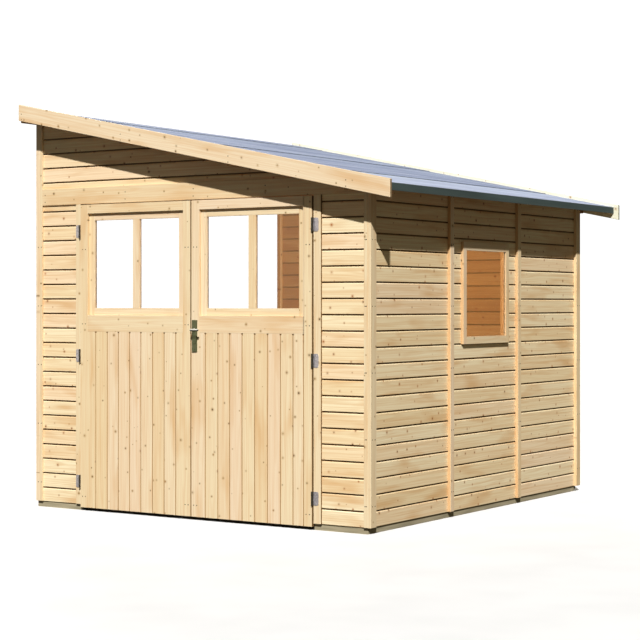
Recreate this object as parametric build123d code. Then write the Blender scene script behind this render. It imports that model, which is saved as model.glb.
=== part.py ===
from build123d import *
import math
import os

# Lean-to garden shed of pine boards, open on its high left side, in millimetres.
# X runs along the front wall to the right, Y from the front to the back, Z up.
# The origin is on the ground, in the middle of the plan of the roof.

# Overall size
wall_length = 2364
wall_depth = 2595
wall_height_low = 1882
roof_pitch_deg = 11.87
eave_overhang = 195
verge_overhang = 165
bargeboard_past_eave = 36

# Timber sections
board_thickness = 19
trim_proud = 11
bearer_width = 60
bearer_height = 36
bearer_setback = 8
stud_width = 60
stud_depth = 40
corner_stud_width = 40
purlin_width = 45
purlin_depth = 58
middle_purlin_count = 2
left_post_thickness = 28
left_post_width = 57

# Trims and battens
corner_board_width = 57
corner_board_thickness = 20
rear_corner_board_width = 57
front_trim_width = 25
left_trim_width = 21
batten_width = 42
batten_thickness = 20

# Wall elements
element_width = 850
first_element_start = 29

# Roof covering and bargeboards
deck_thickness = 19
felt_thickness = 3
felt_apron_drop = 42
eave_strip_size = 20
bargeboard_thickness = 20
bargeboard_height = 95
bargeboard_above_felt = 20

# Doorway
door_element_width = 1748
left_jamb_width = 37
right_jamb_width = 48
lintel_bottom = 1820
lintel_height = 99
header_depth = 60

# Door leaves
side_gap = 5
top_gap = 5
meeting_gap = 6
leaf_bottom = 20
leaf_proud = 18
stile_width = 55
top_rail_height = 53
sash_height = 602
middle_rail_height = 96
back_rail_height = 90
back_frame_thickness = 28
back_frame_setback = 25
back_frame_width = 62
back_frame_above_bearer = 6

# Door windows
sash_recess = 17
sash_thickness = 22
sash_top_gap = 8
sash_stile_width = 41.5
sash_rail_height = 33
sash_bottom_rail_height = 43
mullion_width = 49
pane_thickness = 4
pane_depth_in_sash = 12

# Hinges
hinge_height = 76
hinge_plate_width = 34
hinge_plate_thickness = 2.5
knuckle_radius = 5
pin_radius = 2.5
pin_clearance = 0.3
knuckle_gap = 0.5
hinge_axis_proud = 24
hinge_centres = (173, 920, 1658)

# Lock and lever
lock_plate_width = 38
lock_plate_height = 180
lock_plate_thickness = 8
lock_plate_from_edge = 28
lock_plate_below_lever = 124
lever_height = 1080
lever_length = 57
lever_bar_radius = 7
lever_reach = 50
lever_neck_radius = 9
lever_clearance = 0.3
cylinder_below_lever = 72
cylinder_radius = 8.5
cylinder_proud = 3

# Side window
window_width = 573.5
window_height = 596
window_from_joint = 137.5
window_bottom = 993
window_member_width = 38
window_bottom_member = 43
window_top_member = 49
window_proud = 18
window_lining_gap = 20
window_lining_depth = 24
window_pane_thickness = 4

# Wall planes and heights worked out from the sizes above
x_right = (wall_length - eave_overhang - bargeboard_past_eave) / 2
x_left = x_right - wall_length
y_front = -wall_depth / 2
y_back = wall_depth / 2
slope = math.tan(math.radians(roof_pitch_deg))
slope_cos = math.cos(math.radians(roof_pitch_deg))
x_eave = x_right + eave_overhang
x_board_end = x_eave + bargeboard_past_eave
y_verge_front = y_front - verge_overhang
y_verge_back = y_back + verge_overhang
y_deck_front = y_verge_front + bargeboard_thickness
y_deck_back = y_verge_back - bargeboard_thickness
lintel_top = lintel_bottom + lintel_height
x_wall_start = x_left + left_post_thickness
door_centre = (x_left + x_right + corner_board_thickness) / 2
door_element_left = door_centre - door_element_width / 2
door_element_right = door_centre + door_element_width / 2


def deck_underside(x):
    """Height of the underside of the roof boards at x."""
    return wall_height_low + (x_right - x) * slope


def block(x0, x1, y0, y1, z0, z1):
    """Rectangular piece between two corners."""
    centre = ((x0 + x1) / 2, (y0 + y1) / 2, (z0 + z1) / 2)
    return Pos(*centre) * Box(abs(x1 - x0), abs(y1 - y0), abs(z1 - z0))


def slab(outline, y0, y1):
    """Piece with an outline of x and z points, running from y0 to y1."""
    face = Plane.XZ * make_face(Polyline(*outline, close=True))
    return Pos(0, y1, 0) * extrude(face, amount=y1 - y0)


def turned_y(x, z, radius, y0, y1):
    """Round bar along Y."""
    return Pos(x, (y0 + y1) / 2, z) * Rot(90, 0, 0) * Cylinder(radius, abs(y1 - y0))


def turned_z(x, y, radius, z0, z1):
    """Round bar along Z."""
    return Pos(x, y, (z0 + z1) / 2) * Cylinder(radius, abs(z1 - z0))


def under_roof(piece):
    """Cut a piece off at the underside of the roof boards."""
    x0 = x_left - wall_length
    x1 = x_right + wall_length
    top = deck_underside(x0) + wall_length
    outline = [(x0, deck_underside(x0)), (x1, deck_underside(x1)), (x1, top), (x0, top)]
    return piece - slab(outline, y_front - wall_depth, y_back + wall_depth)


def save(shape, name):
    """Write one sub-part, as a single solid or as a compound of separate ones."""
    solids = shape.solids()
    result = solids[0] if len(solids) == 1 else Compound(children=list(solids))
    export_step(result, f"parts/{name}.step")


os.makedirs("parts", exist_ok=True)
roof_top = deck_underside(x_left) + wall_length


# Base bearers of treated timber, set back behind the boards
x_bearer_right = x_right - bearer_setback
y_bearer_front = y_front + bearer_setback
y_bearer_back = y_back - bearer_setback
front_bearer = block(x_left, x_bearer_right, y_bearer_front, y_bearer_front + bearer_width, 0, bearer_height)
back_bearer = block(x_left, x_bearer_right, y_bearer_back - bearer_width, y_bearer_back, 0, bearer_height)
y_side_front = y_bearer_front + bearer_width
y_side_back = y_bearer_back - bearer_width
right_bearer = block(x_bearer_right - bearer_width, x_bearer_right, y_side_front, y_side_back, 0, bearer_height)
left_bearer = block(x_left, x_left + bearer_width, y_side_front, y_side_back, 0, bearer_height)
save(front_bearer, "front_base_bearer")
save(back_bearer, "back_base_bearer")
save(right_bearer, "right_base_bearer")
save(left_bearer, "left_base_bearer")


# Purlins running from front to back under the roof boards
x_eave_purlin = x_right - board_thickness - purlin_width
purlin_step = (x_eave_purlin - x_left) / (middle_purlin_count + 1)


def purlin(x0):
    """One purlin, bevelled on top to the slope of the roof."""
    x1 = x0 + purlin_width
    bottom = deck_underside(x1) - purlin_depth
    outline = [(x0, bottom), (x1, bottom), (x1, deck_underside(x1)), (x0, deck_underside(x0))]
    return slab(outline, y_deck_front, y_deck_back)


purlins = [purlin(x_left + i * purlin_step) for i in range(middle_purlin_count + 2)]
purlin_bottoms = [deck_underside(x_left + i * purlin_step + purlin_width) - purlin_depth
                  for i in range(middle_purlin_count + 2)]
save(Compound(children=purlins), "roof_purlins")


def around_purlins(piece):
    """Notch a wall piece round the purlins that pass through it."""
    for bar in purlins:
        piece = piece - bar
    return piece


# Posts at the two ends of the open left side, standing on the bearers
left_post_reach = left_post_width - trim_proud
front_post = block(x_left, x_wall_start, y_front - trim_proud, y_front + left_post_reach, bearer_height, roof_top)
rear_post = block(x_left, x_wall_start, y_back - left_post_reach, y_back + trim_proud, bearer_height, roof_top)
left_posts = [around_purlins(under_roof(front_post)), around_purlins(under_roof(rear_post))]
save(Compound(children=left_posts), "left_end_posts")


# Narrow strips that close the corners of the front and back walls
def corner_trims(y0, y1):
    """The left and right strips of one gable wall."""
    left = block(x_wall_start, x_wall_start + left_trim_width, y0, y1, bearer_height, roof_top)
    right = block(x_right - front_trim_width, x_right, y0, y1, bearer_height, roof_top)
    return [around_purlins(under_roof(left)), around_purlins(under_roof(right))]


front_trims = corner_trims(y_front - trim_proud, y_front)
rear_trims = corner_trims(y_back, y_back + trim_proud)
save(Compound(children=front_trims), "front_corner_trims")
save(Compound(children=rear_trims), "rear_corner_trims")


# Boards that cover the corners on the right wall
x_corner_board = x_right + corner_board_thickness
front_board = block(x_right, x_corner_board, y_front - trim_proud,
                    y_front - trim_proud + corner_board_width, bearer_height, roof_top)
rear_board = block(x_right, x_corner_board, y_back + trim_proud - rear_corner_board_width,
                   y_back + trim_proud, bearer_height, roof_top)
save(Compound(children=[under_roof(front_board), under_roof(rear_board)]), "side_corner_boards")


# Front wall: boarded panels beside the doors, lintel, jambs and gable
y_board_back = y_front + board_thickness
panel_left = block(x_wall_start, door_element_left, y_front, y_board_back, bearer_height, lintel_bottom)
panel_right = block(door_element_right, x_right - board_thickness, y_front, y_board_back,
                    bearer_height, lintel_bottom)
save(panel_left, "front_left_panel")
save(around_purlins(panel_right), "front_right_panel")

lintel = block(x_wall_start, x_right - board_thickness, y_front - trim_proud, y_board_back,
               lintel_bottom, lintel_top)
for strip in front_trims:
    lintel = lintel - strip
save(around_purlins(under_roof(lintel)), "door_lintel")

x_opening_left = door_element_left + left_jamb_width
x_opening_right = door_element_right - right_jamb_width
left_jamb = block(door_element_left, x_opening_left, y_front - trim_proud, y_board_back,
                  bearer_height, lintel_bottom)
right_jamb = block(x_opening_right, door_element_right, y_front - trim_proud, y_board_back,
                   bearer_height, lintel_bottom)
save(Compound(children=[left_jamb, right_jamb]), "door_jambs")

gable = block(x_wall_start, x_right - board_thickness, y_front, y_board_back, lintel_top, roof_top)
save(around_purlins(under_roof(gable)), "front_gable")


# Studs behind the joints, corners and door jambs, and the header over the doors
y_stud_front = y_board_back + stud_depth
y_back_inner = y_back - board_thickness
x_side_inner = x_right - board_thickness
eave_purlin_bottom = purlin_bottoms[-1]
joint_offsets = (first_element_start + element_width, first_element_start + 2 * element_width)
side_joints = [y_front + offset for offset in joint_offsets]
back_joints = [x_right - offset for offset in joint_offsets]

side_studs = [block(x_side_inner - stud_depth, x_side_inner, y - stud_width / 2, y + stud_width / 2,
                    bearer_height, eave_purlin_bottom) for y in side_joints]
back_studs = [under_roof(block(x - stud_width / 2, x + stud_width / 2, y_back_inner - stud_depth,
                               y_back_inner, bearer_height, roof_top)) for x in back_joints]
back_studs = [around_purlins(stud) for stud in back_studs]
corner_x = x_side_inner - corner_stud_width
corner_studs = [block(corner_x, x_side_inner, y_board_back, y_stud_front, bearer_height, eave_purlin_bottom),
                block(corner_x, x_side_inner, y_back_inner - stud_depth, y_back_inner,
                      bearer_height, eave_purlin_bottom)]
save(Compound(children=side_studs + back_studs + corner_studs), "wall_studs")

door_posts = [block(door_element_left, x_opening_left, y_board_back, y_stud_front, bearer_height, lintel_bottom),
              block(x_opening_right, door_element_right, y_board_back, y_stud_front,
                    bearer_height, lintel_bottom)]
save(Compound(children=door_posts), "door_posts")
header = block(x_wall_start, corner_x, y_board_back, y_stud_front, lintel_bottom, lintel_bottom + header_depth)
save(around_purlins(header - left_posts[0]), "door_header")


# Right wall: three boarded elements with battens over their joints, and a window in the middle one
y_window_0 = side_joints[0] + window_from_joint
y_window_1 = y_window_0 + window_width
z_window_1 = window_bottom + window_height
lining = window_lining_gap


def side_panel(y0, y1):
    """One element of the right wall, up to the roof boards."""
    return around_purlins(under_roof(block(x_side_inner, x_right, y0, y1, bearer_height, roof_top)))


wall_hole = block(x_side_inner - board_thickness, x_right + board_thickness,
                  y_window_0 + lining, y_window_1 - lining,
                  window_bottom + lining, z_window_1 - lining)
save(side_panel(y_front, side_joints[0]), "side_front_panel")
save(side_panel(side_joints[0], side_joints[1]) - wall_hole, "side_window_panel")
save(side_panel(side_joints[1], y_back), "side_rear_panel")

side_battens = [under_roof(block(x_right, x_right + batten_thickness, y - batten_width / 2,
                                 y + batten_width / 2, bearer_height, roof_top)) for y in side_joints]
save(Compound(children=side_battens), "side_cover_battens")

# Window frame: a face ring on the boards and a lining through the wall
x_window_face = x_right + window_proud
member = window_member_width
face_ring = block(x_right, x_window_face, y_window_0, y_window_1, window_bottom, z_window_1)
lining_ring = block(x_right - window_lining_depth, x_right, y_window_0 + lining, y_window_1 - lining,
                    window_bottom + lining, z_window_1 - lining)
z_sight_0 = window_bottom + window_bottom_member
z_sight_1 = z_window_1 - window_top_member
sight = block(x_right - wall_depth, x_right + wall_depth, y_window_0 + member, y_window_1 - member,
              z_sight_0, z_sight_1)
save((face_ring + lining_ring) - sight, "side_window_frame")
save(block(x_right - window_pane_thickness, x_right, y_window_0 + member, y_window_1 - member,
           z_sight_0, z_sight_1), "side_window_pane")


# Back wall: the same elements, with battens over their joints
def back_panel(x0, x1):
    """One element of the back wall, up to the roof boards."""
    return around_purlins(under_roof(block(x0, x1, y_back_inner, y_back, bearer_height, roof_top)))


save(back_panel(back_joints[0], x_side_inner), "back_right_panel")
save(back_panel(back_joints[1], back_joints[0]), "back_middle_panel")
save(back_panel(x_wall_start, back_joints[1]), "back_left_panel")
back_battens = [under_roof(block(x - batten_width / 2, x + batten_width / 2, y_back,
                                 y_back + batten_thickness, bearer_height, roof_top)) for x in back_joints]
save(Compound(children=back_battens), "back_cover_battens")


# Roof boards, the strip under the eave, and the felt turned down over the eave
deck_rise = deck_thickness / slope_cos
felt_rise = felt_thickness / slope_cos


def roof_layer(x0, x1, low, high):
    """Outline of a layer between two heights above the deck's underside."""
    return [(x0, deck_underside(x0) + low), (x1, deck_underside(x1) + low),
            (x1, deck_underside(x1) + high), (x0, deck_underside(x0) + high)]


save(slab(roof_layer(x_left, x_eave, 0, deck_rise), y_deck_front, y_deck_back), "roof_boards")
strip_x = x_eave - eave_strip_size
save(slab(roof_layer(strip_x, x_eave, -eave_strip_size, 0), y_deck_front, y_deck_back), "eave_strip")

x_apron = x_eave + felt_thickness
felt = slab(roof_layer(x_left, x_apron, deck_rise, deck_rise + felt_rise), y_deck_front, y_deck_back)
apron_bottom = deck_underside(x_eave) + deck_rise + felt_rise - felt_apron_drop
felt = felt + slab([(x_eave, apron_bottom), (x_apron, apron_bottom),
                    (x_apron, deck_underside(x_apron) + deck_rise), (x_eave, deck_underside(x_eave) + deck_rise)],
                   y_deck_front, y_deck_back)
save(felt, "roof_felt")


# Bargeboards along the two verges, cut plumb at both ends
board_top = deck_rise + felt_rise + bargeboard_above_felt
board_outline = roof_layer(x_left, x_board_end, board_top - bargeboard_height / slope_cos, board_top)
save(slab(board_outline, y_verge_front, y_deck_front), "front_bargeboard")
save(slab(board_outline, y_deck_back, y_verge_back), "rear_bargeboard")


# Door leaves: the same pieces on both sides, mirrored about the meeting line
y_leaf_face = y_front - leaf_proud
y_leaf_back = y_leaf_face + board_thickness
y_frame_back = y_leaf_back + back_frame_thickness
leaf_top = lintel_bottom - top_gap
leaf_width = (x_opening_right - x_opening_left - 2 * side_gap - meeting_gap) / 2
z_sash_top = leaf_top - top_rail_height
z_sash_bottom = z_sash_top - sash_height
z_boards_top = z_sash_bottom - middle_rail_height
y_sash = y_leaf_face + sash_recess
y_hinge_axis = y_front - hinge_axis_proud


def hinge_knuckle(x, z0, z1):
    """Round barrel of a hinge round its axis."""
    return turned_z(x, y_hinge_axis, knuckle_radius, z0, z1)


def make_leaf(side, x_hinge_edge, direction):
    """Pieces of one leaf. Direction is +1 where the leaf runs to the right of its hinges."""

    def span(a, b):
        """Two distances from the hinge edge as ordered x values."""
        ends = (x_hinge_edge + direction * a, x_hinge_edge + direction * b)
        return min(ends), max(ends)

    def bar(a, b, y0, y1, z0, z1):
        return block(*span(a, b), y0, y1, z0, z1)

    save(bar(0, leaf_width, y_leaf_face, y_leaf_back, leaf_bottom, z_boards_top), f"{side}_door_boards")

    window = bar(stile_width, leaf_width - stile_width, y_leaf_face, y_leaf_back, z_sash_bottom, z_sash_top)
    upper = bar(0, leaf_width, y_leaf_face, y_leaf_back, z_boards_top, leaf_top)
    upper = upper - window

    sash_top = z_sash_top - sash_top_gap
    sash_back = y_sash + sash_thickness
    sash = bar(stile_width, leaf_width - stile_width, y_sash, sash_back, z_sash_bottom, sash_top)
    pane_0 = stile_width + sash_stile_width
    pane_3 = leaf_width - pane_0
    pane_1 = (leaf_width - mullion_width) / 2
    pane_2 = (leaf_width + mullion_width) / 2
    z_pane_0 = z_sash_bottom + sash_bottom_rail_height
    z_pane_1 = sash_top - sash_rail_height
    y_pane = y_sash + pane_depth_in_sash
    panes = []
    for a, b in ((pane_0, pane_1), (pane_2, pane_3)):
        sash = sash - bar(a, b, y_sash, sash_back, z_pane_0, z_pane_1)
        panes.append(bar(a, b, y_pane, y_pane + pane_thickness, z_pane_0, z_pane_1))

    ring_0 = back_frame_setback
    ring_1 = leaf_width - back_frame_setback
    inner_0 = ring_0 + back_frame_width
    inner_1 = ring_1 - back_frame_width
    z_ring_top = leaf_top - back_frame_setback / 2
    z_ring_bottom = bearer_height + back_frame_above_bearer
    frame = bar(ring_0, ring_1, y_leaf_back, y_frame_back, z_ring_bottom, z_ring_top)
    frame = frame - bar(inner_0, inner_1, y_leaf_back, y_frame_back, z_pane_0, z_pane_1)
    frame = frame - bar(inner_0, inner_1, y_leaf_back, y_frame_back,
                        z_ring_bottom + back_rail_height, z_pane_0 - back_rail_height)
    frame = frame - sash
    save(upper, f"{side}_door_frame")
    save(sash, f"{side}_door_sash")
    save(Compound(children=panes), f"{side}_door_panes")
    save(frame, f"{side}_door_back_frame")

    axis_x = x_hinge_edge - direction * side_gap / 2
    leaves = []
    plates = []
    third = hinge_height / 3
    for centre in hinge_centres:
        z0 = centre - hinge_height / 2
        z1 = centre + hinge_height / 2
        wing = block(axis_x, axis_x + direction * side_gap / 2, y_hinge_axis, y_leaf_back,
                     z0 + third + knuckle_gap, z1 - third - knuckle_gap)
        leaf = hinge_knuckle(axis_x, z0 + third + knuckle_gap, z1 - third - knuckle_gap) + wing
        leaf = leaf - turned_z(axis_x, y_hinge_axis, pin_radius + pin_clearance, z0, z1)
        leaves.append(leaf)
        plate_x0 = axis_x - direction * (side_gap / 2 + hinge_plate_width)
        plate_x1 = axis_x - direction * knuckle_radius / 2
        y_jamb = y_front - trim_proud
        plate = block(plate_x0, plate_x1, y_jamb - hinge_plate_thickness, y_jamb, z0, z1)
        for low, high in ((z0, z0 + third), (z1 - third, z1)):
            web = block(axis_x - direction * knuckle_radius, axis_x - direction * knuckle_radius / 2,
                        y_hinge_axis, y_jamb, low, high)
            plate = plate + web + hinge_knuckle(axis_x, low, high)
        plates.append(plate + turned_z(axis_x, y_hinge_axis, pin_radius, z0, z1))
    save(Compound(children=leaves), f"{side}_door_hinge_leaves")
    return plates


x_left_leaf = x_opening_left + side_gap
x_right_leaf = x_opening_right - side_gap
hinge_plates = make_leaf("left", x_left_leaf, 1) + make_leaf("right", x_right_leaf, -1)
save(Compound(children=hinge_plates), "jamb_hinge_plates")


# Lock plate with its cylinder, and the lever handle, on the free edge of the right leaf
x_free_edge = x_right_leaf - leaf_width
plate_x0 = x_free_edge + lock_plate_from_edge - lock_plate_width / 2
x_spindle = plate_x0 + lock_plate_width / 2
y_plate = y_leaf_face - lock_plate_thickness
lock_plate_bottom = lever_height - lock_plate_below_lever
cylinder_height = lever_height - cylinder_below_lever
lock_plate = block(plate_x0, plate_x0 + lock_plate_width, y_plate, y_leaf_face,
                   lock_plate_bottom, lock_plate_bottom + lock_plate_height)
cylinder = turned_y(x_spindle, cylinder_height, cylinder_radius, y_plate - cylinder_proud, y_plate)
save(lock_plate + cylinder, "lock_plate")

y_lever = y_leaf_face - lever_reach
neck = turned_y(x_spindle, lever_height, lever_neck_radius, y_lever - lever_bar_radius,
                y_plate - lever_clearance)
bar = Pos(x_spindle + lever_length / 2, y_lever, lever_height) * Rot(0, 90, 0) * Cylinder(
    lever_bar_radius, lever_length)
save(neck + bar, "lever_handle")
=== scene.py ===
import bmesh
import bpy
import math
import random
from mathutils import Matrix, Vector


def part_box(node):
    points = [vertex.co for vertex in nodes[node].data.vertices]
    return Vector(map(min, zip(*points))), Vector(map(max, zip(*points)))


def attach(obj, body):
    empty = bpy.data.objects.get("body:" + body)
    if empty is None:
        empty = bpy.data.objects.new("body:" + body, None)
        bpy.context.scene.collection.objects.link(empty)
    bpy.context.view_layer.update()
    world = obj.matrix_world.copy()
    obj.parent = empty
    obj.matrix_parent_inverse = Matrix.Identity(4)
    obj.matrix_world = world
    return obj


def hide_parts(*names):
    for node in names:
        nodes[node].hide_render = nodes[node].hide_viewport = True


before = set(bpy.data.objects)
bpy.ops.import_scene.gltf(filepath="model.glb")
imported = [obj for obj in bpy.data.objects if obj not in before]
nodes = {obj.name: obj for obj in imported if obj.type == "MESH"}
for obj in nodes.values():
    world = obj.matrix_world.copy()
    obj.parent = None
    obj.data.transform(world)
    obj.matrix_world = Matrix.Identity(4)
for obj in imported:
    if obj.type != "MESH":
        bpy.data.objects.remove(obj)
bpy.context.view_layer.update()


# Base bearers
# Four squared bars of pressure-treated pine that carry the walls, left rough from the saw.
# The front and back bars run through, and the side bars are screwed between them.
shuffle = random.Random(11)


def linear(code):
    """An sRGB hex colour as the linear values that a shader takes."""
    parts = [int(code[i:i + 2], 16) / 255 for i in (1, 3, 5)]
    return tuple(c / 12.92 if c <= 0.04045 else ((c + 0.055) / 1.055) ** 2.4 for c in parts) + (1.0,)


def put(material, kind, settings, sockets):
    """Adds one node to a material, with its settings, values and links."""
    made = material.node_tree.nodes.new(kind)
    for name, value in settings.items():
        if name == "stops":
            while len(made.color_ramp.elements) < len(value):
                made.color_ramp.elements.new(1.0)
            for element, (place, code) in zip(made.color_ramp.elements, value):
                element.position = place
                element.color = linear(code)
        else:
            setattr(made, name, value)
    for name, value in sockets.items():
        if isinstance(value, bpy.types.NodeSocket):
            material.node_tree.links.new(value, made.inputs[name])
        else:
            made.inputs[name].default_value = value
    return made


def surface(name, roughness):
    """A new material and its shader, with the roughness set."""
    made = bpy.data.materials.new(name)
    made.use_nodes = True
    shader = made.node_tree.nodes["Principled BSDF"]
    shader.inputs["Roughness"].default_value = roughness
    return made, shader


def stored(material, name, output="Vector"):
    """A value that every point of a mesh carries."""
    return put(material, "ShaderNodeAttribute", {"attribute_name": name}, {}).outputs[output]


def stretched(material, place, scale, detail):
    """Noise drawn out by its own scale in each direction."""
    wide = put(material, "ShaderNodeMapping", {}, {"Vector": place, "Scale": scale}).outputs[0]
    return put(material, "ShaderNodeTexNoise", {}, {"Vector": wide, "Scale": 1.0, "Detail": detail})


def mark(faces, slot):
    """Gives faces one of their piece's materials, by its place among them."""
    for face in faces:
        face.material_index = slot


def new_piece():
    """An empty mesh whose points carry their place in the timber, its direction and its own number."""
    piece = bmesh.new()
    piece.verts.layers.float_vector.new("grain")
    piece.verts.layers.float_vector.new("run")
    piece.verts.layers.float.new("board")
    return piece


def moulded(piece, outline, start, end, place, ease=0.0, cuts=(), heart=None, board=None,
            inner=None, seam=None, seam_slot=2):
    """Adds one length of timber. The outline is in (across, depth), and place gives the three directions."""
    part = new_piece()
    ring = [part.verts.new((start, across, depth)) for across, depth in outline]
    grown = bmesh.ops.extrude_face_region(part, geom=[part.faces.new(ring)])["geom"]
    far_end = [v for v in grown if isinstance(v, bmesh.types.BMVert)]
    bmesh.ops.translate(part, verts=far_end, vec=(end - start, 0, 0))
    if ease:
        bmesh.ops.bevel(part, geom=part.edges[:], offset=ease, affect="EDGES", segments=2, profile=0.5,
                        material=-1)
    bmesh.ops.transform(part, matrix=place, verts=part.verts[:])
    for point, away in cuts:
        whole = part.verts[:] + part.edges[:] + part.faces[:]
        cut = bmesh.ops.bisect_plane(part, geom=whole, plane_co=point, plane_no=away, clear_outer=True)
        rim = [e for e in cut["geom_cut"] if isinstance(e, bmesh.types.BMEdge)]
        bmesh.ops.holes_fill(part, edges=rim)
    bmesh.ops.recalc_face_normals(part, faces=part.faces[:])
    if heart is None:
        heart = [(min(p[i] for p in outline) + max(p[i] for p in outline)) / 2 for i in (0, 1)]
    number = shuffle.random() if board is None else board
    grain = part.verts.layers.float_vector["grain"]
    run = part.verts.layers.float_vector["run"]
    shade = part.verts.layers.float["board"]
    back = place.inverted()
    for vert in part.verts:
        along, across, depth = back @ vert.co
        vert[grain] = (along, across - heart[0], depth - heart[1])
        vert[run] = place.col[0].xyz
        vert[shade] = number
    for face in part.faces:
        spots = [back @ v.co for v in face.verts]
        if seam and (all(s.y <= seam[0] for s in spots) or all(s.y >= seam[1] for s in spots)):
            face.material_index = seam_slot
        if inner is not None and all(s.z > inner for s in spots):
            eased = seam and min(s.z for s in spots) < inner + 0.002
            face.material_index = seam_slot if eased else 1
    length = bpy.data.meshes.new("length")
    part.to_mesh(length)
    part.free()
    piece.from_mesh(length)
    bpy.data.meshes.remove(length)


def directions(along, across, depth, origin=(0, 0, 0)):
    """The matrix that turns (along, across, depth) into the shed's frame."""
    columns = (along, across, depth, origin)
    return Matrix([[c[row] for c in columns] for row in range(3)] + [[0, 0, 0, 1]])


def bar(piece, low, high, along, ease=0.0015, cuts=()):
    """Adds a squared timber between two corners, with its grain along x, y or z."""
    axes = ["xyz".index(along)]
    axes += sorted((i for i in range(3) if i != axes[0]), key=lambda i: low[i] - high[i])
    unit = Matrix.Identity(3)
    place = directions(*(unit[i] for i in axes))
    a, w, t = axes
    outline = [(low[w], low[t]), (high[w], low[t]), (high[w], high[t]), (low[w], high[t])]
    moulded(piece, outline, low[a], high[a], place, ease=ease, cuts=cuts)


def shown(piece, name, *materials):
    """Turns a finished mesh into an object with its materials."""
    mesh = bpy.data.meshes.new(name)
    piece.to_mesh(mesh)
    piece.free()
    made = bpy.data.objects.new(name, mesh)
    bpy.context.scene.collection.objects.link(made)
    for material in materials:
        mesh.materials.append(material)
    return made


def finished(piece, name, body, slot, node, *materials):
    """Turns a mesh into a piece of a body, in place of a CAD node if one is named."""
    made = shown(piece, name, *materials)
    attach(made, body)
    if node:
        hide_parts(node)


def flecked(name, roughness, scale, stops, metallic=0.0, detail=2.0):
    """A material whose colour wanders between two or three tones in small soft flecks."""
    made, shader = surface(name, roughness)
    shader.inputs["Metallic"].default_value = metallic
    place = put(made, "ShaderNodeTexCoord", {}, {}).outputs["Object"]
    flecks = put(made, "ShaderNodeTexNoise", {},
                 {"Vector": place, "Scale": scale, "Detail": detail}).outputs["Fac"]
    tone = put(made, "ShaderNodeValToRGB", {"stops": stops}, {"Fac": flecks}).outputs["Color"]
    made.node_tree.links.new(tone, shader.inputs["Base Color"])
    return made


# Sawn pine soaked with copper salts: dull, fuzzy, grey-green with browner streaks
treated, shader = surface("pressure_treated_sawn_pine", 0.85)
grain = stored(treated, "grain")
salts = stretched(treated, grain, (4.0, 70.0, 70.0), 3.0).outputs["Fac"]
tone = put(treated, "ShaderNodeValToRGB",
           {"stops": [(0.3, "#8E8469"), (0.5, "#A69A7D"), (0.7, "#B8AB8D")]}, {"Fac": salts}).outputs["Color"]
saw = put(treated, "ShaderNodeTexWave", {"wave_type": "BANDS", "bands_direction": "X"},
          {"Vector": grain, "Scale": 40.0, "Distortion": 3.0, "Detail": 2.0}).outputs["Fac"]
rough = put(treated, "ShaderNodeBump", {}, {"Height": saw, "Strength": 0.5, "Distance": 0.0008}).outputs[0]
treated.node_tree.links.new(tone, shader.inputs["Base Color"])
treated.node_tree.links.new(rough, shader.inputs["Normal"])

# Below the doors the same timber is painted black: a painted shadow of the leaves over it
under_door_shade = flecked("timber_painted_shade_under_doors", 0.9, 25.0, [(0.3, "#120C06"), (0.7, "#261C10")], detail=3.0)

for node, along in (("front_base_bearer", "x"), ("back_base_bearer", "x"),
                    ("left_base_bearer", "y"), ("right_base_bearer", "y")):
    low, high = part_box(node)
    piece = new_piece()
    if node == "front_base_bearer":
        door_low, door_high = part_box("left_door_boards")[0].x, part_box("right_door_boards")[1].x
        bar(piece, low + Vector((0.001, 0, 0)), (door_low, high.y, high.z), along, ease=0)
        bar(piece, (door_high, low.y, low.z), high, along, ease=0)
        # The stretch under the doors, drawn after this count, takes slot 1, the painted shadow
        shaded_part_start = len(piece.faces)
        bar(piece, (door_low, low.y, low.z), (door_high, high.y, high.z), along, ease=0)
        piece.faces.ensure_lookup_table()
        mark(piece.faces[shaded_part_start:], 1)
    else:
        bar(piece, low + Vector((0.001, 0, 0)), high, along, ease=0.003)
    finished(piece, node.replace("_bearer", "_timber"), "shed", "treated_timber", node, treated, under_door_shade)


# Wall framing
# Studs of planed pine behind the joints of the boards and in the right corners, two posts beside the
# doorway and a header over it. They are screwed to the boards from inside, and stop under the roof.
slope = math.tan(math.radians(11.87))
slope_cos = math.cos(math.radians(11.87))
x_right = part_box("side_front_panel")[1].x
wall_top = 1.882
peak = 2.500
roof_plane = [(Vector((x_right, 0, wall_top)), Vector((slope, 0, 1)).normalized())]


def reckoned(material, operation, *values):
    """One sum on numbers or sockets."""
    return put(material, "ShaderNodeMath", {"operation": operation}, dict(enumerate(values))).outputs[0]


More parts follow.
